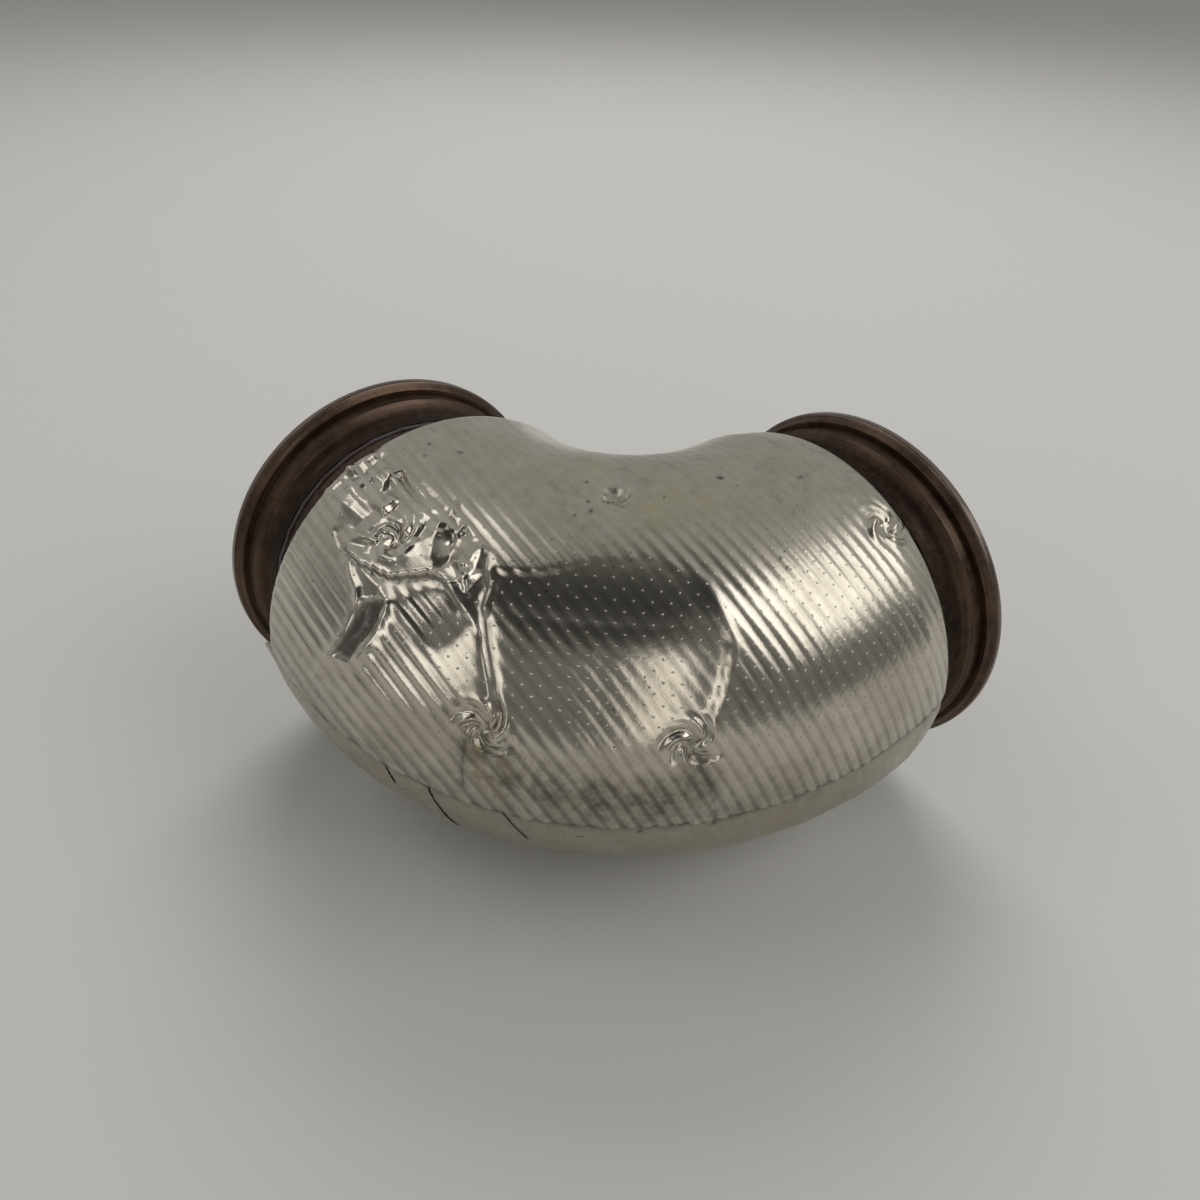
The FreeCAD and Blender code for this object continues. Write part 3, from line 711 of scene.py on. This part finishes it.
# Marks on the foil: run, lift and radius.
YELLOW_STAINS = ((88.9, 79.0, 6), (96.1, 84.6, 5), (102.6, 81.9, 4), (54.0, 13.0, 4),
                 (57.0, 1.0, 5), (55.5, 6.0, 5), (59.5, 9.0, 4), (24.2, 104.9, 7), (67.6, 100.0, 6))
DARK_SPECKS = ((113.8, 90.1, 1.5), (139.0, 82.1, 1.3), (87.5, 92.9, 0.6), (91.9, 84.5, 0.6),
               (66.2, 89.8, 1.0), (68.5, 81.6, 0.9), (70.0, 78.5, 1.0), (4.4, 84.2, 0.9),
               (9.0, 80.1, 0.9), (17.3, 87.4, 0.9), (16.0, 87.4, 0.8), (118.5, 88.9, 0.6),
               (117.1, 85.4, 0.6), (117.0, 61.0, 0.7), (117.7, 58.4, 0.6), (65.8, 76.2, 0.6),
               (120.5, 30.0, 0.8), (61.0, 40.0, 0.7))
WET_DIRT = ((60.0, 8.0, 9), (68.0, 7.0, 9), (77.0, 5.0, 9), (86.0, 4.0, 9), (94.0, 8.0, 8),
            (54.0, 12.0, 7))
SEAM_SPOTS = ((148.1, 3.0, 0.9), (141.0, 2.0, 0.9), (98.4, -7.2, 1.0), (84.6, -9.6, 1.0),
              (73.5, -14.0, 0.8), (43.0, -13.0, 0.8), (22.0, -12.8, 0.8), (25.6, -11.1, 0.7),
              (36.8, -14.1, 0.7))
BROWN_TINT = ((103.8, 29.1, 7), (107.0, 36.0, 6), (113.0, 22.0, 7), (96.0, 24.0, 5))


def on_cover(places):
    """Points of the undented cover at (run, lift) places."""
    run, lift = np.array(places, float).T
    centre, outward = centreline(run)
    return centre + COVER_RADIUS * tube_direction(outward, lift)


def line_distance(points, line):
    """Distance of each point from a polyline in space."""
    nearest = np.full(len(points), 1e9)
    for a, b in zip(line[:-1], line[1:]):
        edge = b - a
        share = np.clip(((points - a) @ edge) / (edge @ edge), 0, 1)
        nearest = np.minimum(nearest, np.linalg.norm(points - a - share[:, None] * edge, axis=1))
    return nearest


def smoothed(values, rounds):
    """Rounds a grid of heights a little, as foil never folds to a knife edge."""
    for _ in range(rounds):
        padded = np.pad(values, 1, mode="edge")
        values = (2 * values + padded[:-2, 1:-1] + padded[2:, 1:-1]
                  + padded[1:-1, :-2] + padded[1:-1, 2:]) / 6
    return values


def above_seam(points, grid):
    """Height above the seam in mm."""
    return (points[:, 2] - seam_height(points)).reshape(grid)


def pinch_twist(points, place, size):
    """Folds that run into a pinch and twist round it, as where foil is screwed up by hand."""
    heart = on_cover([place])[0]
    centre, outward = centreline(np.array([place[0]]))
    normal = tube_direction(outward, np.array([place[1]]))[0]
    side = np.cross(normal, (0, 0, 1.0))
    side /= np.linalg.norm(side)
    above = np.cross(side, normal)
    off = points - heart
    p, q = off @ side, off @ above
    far = np.hypot(p, q) + 1e-6
    angle = np.arctan2(q, p) + 0.35 * far / size
    folds = 0.55 * np.cos(4 * angle) + 0.35 * np.cos(7 * angle + 1.3)
    ring = np.exp(-((far - 3.2 * size) / (2.2 * size)) ** 2)
    return size * folds * ring


def spread(*stretches):
    """Joins evenly divided stretches: each is (start, stop, number of steps)."""
    parts = [np.linspace(a, b, n, endpoint=False) for a, b, n in stretches]
    return np.concatenate(parts + [[stretches[-1][1]]])


def ribs(points, strength):
    """Slanting embossed ribs: flat bands with rounded shoulders, standing in parallel planes."""
    phase = points @ RIB_DIRECTION / RIB_PITCH * 2 * math.pi
    return strength * np.tanh(1.5 * np.sin(phase)) / math.tanh(1.5)


def inside_box(points):
    """Keeps points, in mm, within the box of the CAD model."""
    return np.clip(points, np.array(cad_box[0]) / MM, np.array(cad_box[1]) / MM)


def with_end_walls(points, centre, direction, radius):
    """Adds the rows of points by which a foil's edges turn in to the pipe."""
    inlet_wall = [centre[0] + (radius[0] - depth)[:, None] * direction[0]
                  for depth in reversed(TURNED_IN)]
    outlet_wall = [centre[-1] + (radius[-1] - depth)[:, None] * direction[-1] for depth in TURNED_IN]
    return np.concatenate([inlet_wall, points, outlet_wall])


def over_end_walls(values):
    """Carries the values at a foil's two edges on over its end walls."""
    return np.pad(values, ((len(TURNED_IN), len(TURNED_IN)), (0, 0)), mode="edge")


def spots(points, places, grid):
    """Soft-edged spots, each given by its run, lift and radius."""
    mask = np.zeros(len(points))
    for spot_run, spot_lift, size in places:
        heart = on_cover([(spot_run, spot_lift)])[0]
        mask = np.maximum(mask, np.clip(1.5 - np.linalg.norm(points - heart, axis=1) / size, 0, 1))
    return mask.reshape(grid)


foil = bpy.data.materials.new("embossed_foil")
n = Nodes(foil)
place = n.add("TexCoord").outputs["Object"]
across = n.dot(place, tuple(RIB_DIRECTION / (RIB_PITCH * MM)))
along = n.dot(place, tuple(POINT_ROW_DIRECTION / (POINT_PITCH * MM)))
line_number = n.calc("FLOOR", n.calc("ADD", across, LINE_OFFSET))
off_line = n.calc("MULTIPLY", n.calc("SUBTRACT", n.calc("FRACT", n.calc("ADD", across, LINE_OFFSET)),
                                     0.5), RIB_PITCH)
off_point = n.calc("MULTIPLY", n.calc("SUBTRACT", n.calc("FRACT", n.calc(
    "ADD", along, n.calc("MULTIPLY", line_number, LINE_STAGGER))), 0.5), POINT_PITCH)
from_point = n.calc("SQRT", n.calc("ADD", n.calc("MULTIPLY", off_line, off_line),
                                   n.calc("MULTIPLY", off_point, off_point)))
points_height = n.ramp(from_point, 0.10, 0.48, 1.0, 0.0)
film = n.add("Attribute", attribute_name="film").outputs["Fac"]
deposit_and_shade = n.add("Attribute", attribute_name="deposit_and_shade").outputs["Fac"]
stain = n.add("Attribute", attribute_name="stain").outputs["Fac"]
grime_and_shade = n.add("Attribute", attribute_name="grime_and_shade").outputs["Fac"]
fine = n.noise(place, 2600, 2.0)
cloud = n.noise(place, 45, 5.0, 0.6)
patchy = n.noise(place, 210, 4.0, 0.65)
colour = n.blend(n.ramp(cloud, 0.35, 0.7), (0.63, 0.587, 0.505, 1), (0.515, 0.475, 0.395, 1))
colour = n.blend(n.calc("MULTIPLY", film, n.ramp(patchy, 0.2, 0.8, 0.5, 1.0)), colour,
                 (0.44, 0.413, 0.335, 1))
blotch = n.calc("MULTIPLY", film, n.ramp(n.noise(place, 130, 6.0, 0.7), 0.50, 0.72, 0.0, 0.55))
colour = n.blend(blotch, colour, (0.29, 0.272, 0.222, 1))
# Painted shade darkens the rib valleys everywhere and is deepened by dirt where there is deposit; a
# dull film weakens it.
valley = n.ramp(n.calc("SINE", n.calc("MULTIPLY", across, 2 * math.pi)), 0.1, -0.8, 0.0, 1.0)
valley_dirt_and_shade = n.calc("MULTIPLY", valley, n.calc("ADD", n.ramp(patchy, 0.3, 0.7, 0.12, 0.3),
                                                n.calc("MULTIPLY", deposit_and_shade, 0.7)), clamp=True)
valley_dirt_and_shade = n.calc("MULTIPLY", valley_dirt_and_shade, n.ramp(film, 0.0, 1.0, 1.0, 0.25))
colour = n.blend(valley_dirt_and_shade, colour, (0.20, 0.175, 0.14, 1))
colour = n.blend(n.calc("MULTIPLY", stain, n.ramp(patchy, 0.42, 0.58)), colour,
                 (0.50, 0.45, 0.29, 1))
# Brown deposit along the seam, which on the upper shell also carries painted shade towards the bottom.
colour = n.blend(n.calc("MULTIPLY", deposit_and_shade, n.ramp(patchy, 0.3, 0.7, 0.35, 1.0)), colour,
                 (0.125, 0.108, 0.086, 1))
# Near-black painted shade in crevices, along the cracks and under the seam's lip, together with dark
# dirt spots.
colour = n.blend(n.calc("MULTIPLY", grime_and_shade, n.ramp(patchy, 0.3, 0.5, 0.5, 1.0)), colour,
                 (0.05, 0.045, 0.035, 1))
speck = n.calc("MULTIPLY", n.ramp(n.noise(place, 700, 1.0), 0.73, 0.77),
               n.ramp(cloud, 0.45, 0.6))
colour = n.blend(speck, colour, (0.09, 0.085, 0.07, 1))
n.link(colour, "Base Color")
rough = n.calc("ADD", n.ramp(cloud, 0.3, 0.75, 0.09, 0.17), n.calc("MULTIPLY", film, 0.26))
rough = n.calc("ADD", rough, n.calc("MULTIPLY", n.calc("ADD", deposit_and_shade, grime_and_shade), 0.17))
rough = n.calc("ADD", rough, n.calc("MULTIPLY", n.calc("SUBTRACT", fine, 0.5), 0.12),
               clamp=True)
n.link(rough, "Roughness")
dull = n.calc("ADD", n.calc("MULTIPLY", deposit_and_shade, 0.32), n.calc("MULTIPLY", grime_and_shade, 0.9),
              clamp=True)
n.link(n.calc("SUBTRACT", 1.0, dull, clamp=True), "Metallic")
uneven = n.bump(n.noise(place, 120, 3.0, 0.5), 0.0006, 0.22)
pressed_points = n.bump(points_height, 0.00014, 0.6, uneven)
n.link(n.bump(fine, 0.00006, 0.5, pressed_points), "Normal")

upper_runs = spread((INLET_EDGE, 0, 18), (0, 62, 190), (62, 104, 88),
                    (104, BEND_END, 62), (BEND_END, OUTLET_EDGE, 29))
upper_shares = spread((0, 0.42, 156), (0.42, 0.62, 42), (0.62, 1, 42))
run, lift = shell_grid(upper_runs, upper_shares, lambda r: seam_lift(r, True),
                       lambda r: seam_lift(r, False))
centre, outward = centreline(run)
direction = tube_direction(outward, lift)
radius = dented_radius(run, lift, 0.0)
nominal = (centre + COVER_RADIUS * direction).reshape(-1, 3)
height = smoothed(crumple_height(run, lift), 1)
flat = np.ones(run.shape)
for place_run, place_lift, size in PINCHES:
    twist = pinch_twist(nominal, (place_run, place_lift), size * TWIST_SIZE).reshape(run.shape)
    height += twist * TWIST_HEIGHT
    heart = on_cover([(place_run, place_lift), (place_run + 0.1, place_lift)])
    away = line_distance(nominal, heart).reshape(run.shape)
    flat *= 1 - np.exp(-(away / (PINCH_REACH * size)) ** 2)
away = line_distance(nominal, on_cover(PRESSED_LINE)).reshape(run.shape)
flat *= 1 - np.exp(-(away / PRESSED_REACH) ** 4)

in_dent = inside_outline(run, lift, WIDE_DENT, 0.9)
height -= smoothed(wide_dent(run, lift), 2)
for line, _, _ in RIDGES:
    flat *= 1 - np.exp(-(from_line(run, lift, line) / 3.4) ** 2)
flat *= 1 - np.exp(-(from_line(run, lift, FLAP) / 4.0) ** 2)
flat *= 1 - 0.75 * inside_outline(run, lift, POCKET_FIELD, 2.0)
flat *= 1 - 0.88 * inside_outline(run, lift, SMOOTH_PATCH, 2.0)
fade_top = np.clip((lift - 68) / 14, 0, 1)
rib_strength = 1 - fade_top * (0.92 - 0.37 * np.clip((run - 55) / 25, 0, 1))
rib_strength *= 1 - in_dent * np.clip(0.40 + 0.4 * np.clip((lift - 38) / 10, 0, 1)
                                      + 0.4 * np.clip((run - 76) / 8, 0, 1), 0, 0.82)
rib_strength *= 1 + 0.5 * np.clip((50 - run) / 20, 0, 1)
to_rim = np.minimum(run - INLET_EDGE, OUTLET_EDGE - run)
rib_strength *= 1 - 0.85 * np.exp(-to_rim / 1.6)
height += ribs(nominal, RIB_HEIGHT).reshape(run.shape) * flat * rib_strength
from_seam = np.abs(above_seam(nominal, run.shape))
edge_wave = 0.30 * np.sin(run * 0.41) + 0.22 * np.sin(run * 1.13 + 0.8)
height += (LIP_HEIGHT + edge_wave) * np.exp(-from_seam / 1.6)
radius = radius + height - SET_IN
points = centre + radius[..., None] * direction
points = inside_box(points)

# Wear on the shell: a dull film on top, deposit along the seam, stains and dark specks. Painted shade
# darkens the lower outer side, under the flap, in the grooves and over the pocket floor.
shiny_end = np.clip((62 - run) / 20, 0, 1)
film_on_top = np.clip((direction[..., 2] - 0.80 - 0.10 * shiny_end) / 0.12, 0, 1) * 0.9
# Painted shade darkens the shell's lower outer side towards the bottom; the wet dirt spots on it are
# dirt.
lower_dirt_and_shade = 0.46 * np.clip((24 - lift) / 26, 0, 1) + 0.52 * spots(nominal, WET_DIRT, run.shape)
outlet_haze = np.clip((run - 96) / 30, 0, 1) * np.clip((lift - 20) / 25, 0, 1) * 0.45
near_seam = np.exp(-from_seam / 1.5)
# Painted shade under the flap, along the grooves and over the pocket floor, with some dirt.
from_flap = from_line(run, lift, FLAP)
crevice_dirt_and_shade = np.where(from_flap < 0, 0.85 * np.exp(from_flap / 1.5), 0)
for line, rise, _ in RIDGES:
    if rise < 0:
        crevice_dirt_and_shade = np.maximum(crevice_dirt_and_shade, 0.8 * np.exp(-np.abs(from_line(run, lift, line)) / 0.7))
crevice_dirt_and_shade = np.maximum(crevice_dirt_and_shade, 0.9 * inside_outline(run, lift, POCKET_FLOOR, 0.8))
rubbed = np.exp(-(from_flap / 1.6) ** 2) * (from_flap > 0)
for line, rise, _ in RIDGES:
    if rise > 0:
        rubbed = np.maximum(rubbed, np.exp(-(from_line(run, lift, line) / 1.6) ** 2))
marks = {
    "film": np.maximum(film_on_top, outlet_haze) * (1 - 0.85 * rubbed) * (
        1 - 0.8 * inside_outline(run, lift, CRUSHED, 3.0)),
    "deposit_and_shade": np.maximum(np.maximum(near_seam, lower_dirt_and_shade),
                          0.3 * spots(nominal, BROWN_TINT, run.shape)),
    "stain": spots(nominal, YELLOW_STAINS, run.shape),
    "grime_and_shade": np.maximum(crevice_dirt_and_shade, spots(nominal, DARK_SPECKS, run.shape)),
}

points = with_end_walls(points, centre, direction, radius)
marks = {mark: over_end_walls(values) for mark, values in marks.items()}
upper_foil = sheet_object("foil_shell_upper", points, foil, marks)
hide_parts("foil_cover_upper")


# Lower foil shell. The same foil, less sharply embossed and dulled by dirt. Its upper edge tucks under
# the upper shell, three cracks lean down from the seam, and a torn corner stands out at the inlet.
SLITS = (((33.5, -3.4), (34.8, -12.5)),
         ((43.7, -5.6), (45.3, -32.5)),
         ((58.9, -6.6), (62.7, -21.1)))
SLIT_WIDTH = 0.9
TORN_CORNER_LIFT = 0.5
TORN_CORNER_LENGTH = 9.0
TORN_CORNER_LIFTED = 0.9
TUCK_RISE = 3.8
TUCK_DEPTH = 0.35
LOWER_RIB_HEIGHT = 0.07
LOWER_SET_IN = 0.3
WAVE_HEIGHT = 0.25
lower_runs = spread((INLET_EDGE + FOIL, 0, 14), (0, 30, 54), (30, 66, 150),
                    (66, BEND_END, 104), (BEND_END, OUTLET_EDGE - FOIL, 22))
lower_shares = spread((0, 0.06, 16), (0.06, 0.5, 92), (0.5, 0.88, 52), (0.88, 1, 46))
run, lift = shell_grid(lower_runs, lower_shares, lambda r: seam_lift(r, False, TUCK_RISE) - 360.0,
                       lambda r: seam_lift(r, True, TUCK_RISE))
centre, outward = centreline(run)
direction = tube_direction(outward, lift)
radius = dented_radius(run, lift, FOIL)
nominal = (centre + COVER_RADIUS * direction).reshape(-1, 3)
tucked = np.clip((nominal[:, 2] - seam_height(nominal)) / 1.2, 0, 1).reshape(run.shape)
waves = WAVE_HEIGHT * np.sin(nominal @ np.array((0.19, 0.05, 0.16)) + 1.1) * np.sin(
    nominal @ np.array((-0.05, 0.08, 0.11)))
height = waves.reshape(run.shape) + ribs(nominal, LOWER_RIB_HEIGHT).reshape(run.shape) - LOWER_SET_IN
from_slits = np.stack([from_line(run, lift, slit) for slit in SLITS])
height += sum(np.where(away < 0, 0.5, 0.15) * np.exp(-np.abs(away) / 3.0) for away in from_slits)
radius = radius + height - TUCK_DEPTH * tucked
points = centre + radius[..., None] * direction
torn = np.exp(-((lift - TORN_CORNER_LIFT) / 2.8) ** 2)
torn *= np.clip(1 - (run - INLET_EDGE) / 3.5, 0, 1)
points[..., 0] -= TORN_CORNER_LENGTH * torn
points += (TORN_CORNER_LIFTED * torn)[..., None] * direction
points = inside_box(points)
slit_open = (np.abs(from_slits) < SLIT_WIDTH / 2).any(0)
slit_open = slit_open[:-1, :-1] & slit_open[1:, 1:]
points = with_end_walls(points, centre, direction, radius)
above = above_seam(nominal, run.shape)
# Painted shade along the cracks, and a painted shadow under the upper shell's edge at the seam.
slit_shade = 0.8 * np.exp(-np.abs(from_slits).min(0) / 0.7)
lip_shadow = 0.85 * np.exp(-np.abs(above + 0.5) / 0.9)
marks = {
    "film": np.full(run.shape, 1.0),
    "deposit_and_shade": np.exp(-np.abs(above) / 2.2),
    "stain": spots(nominal, ((30.0, -14.0, 5), (70.0, -20.0, 6), (112.0, -12.0, 5)), run.shape),
    "grime_and_shade": np.maximum(np.maximum(slit_shade, lip_shadow), spots(nominal, SEAM_SPOTS, run.shape)),
}
marks = {mark: over_end_walls(values) for mark, values in marks.items()}
slit_open = np.pad(slit_open, ((len(TURNED_IN), len(TURNED_IN)), (0, 0)))
lower_foil = sheet_object("foil_shell_lower", points, foil, marks, slit_open)
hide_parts("foil_cover_lower")
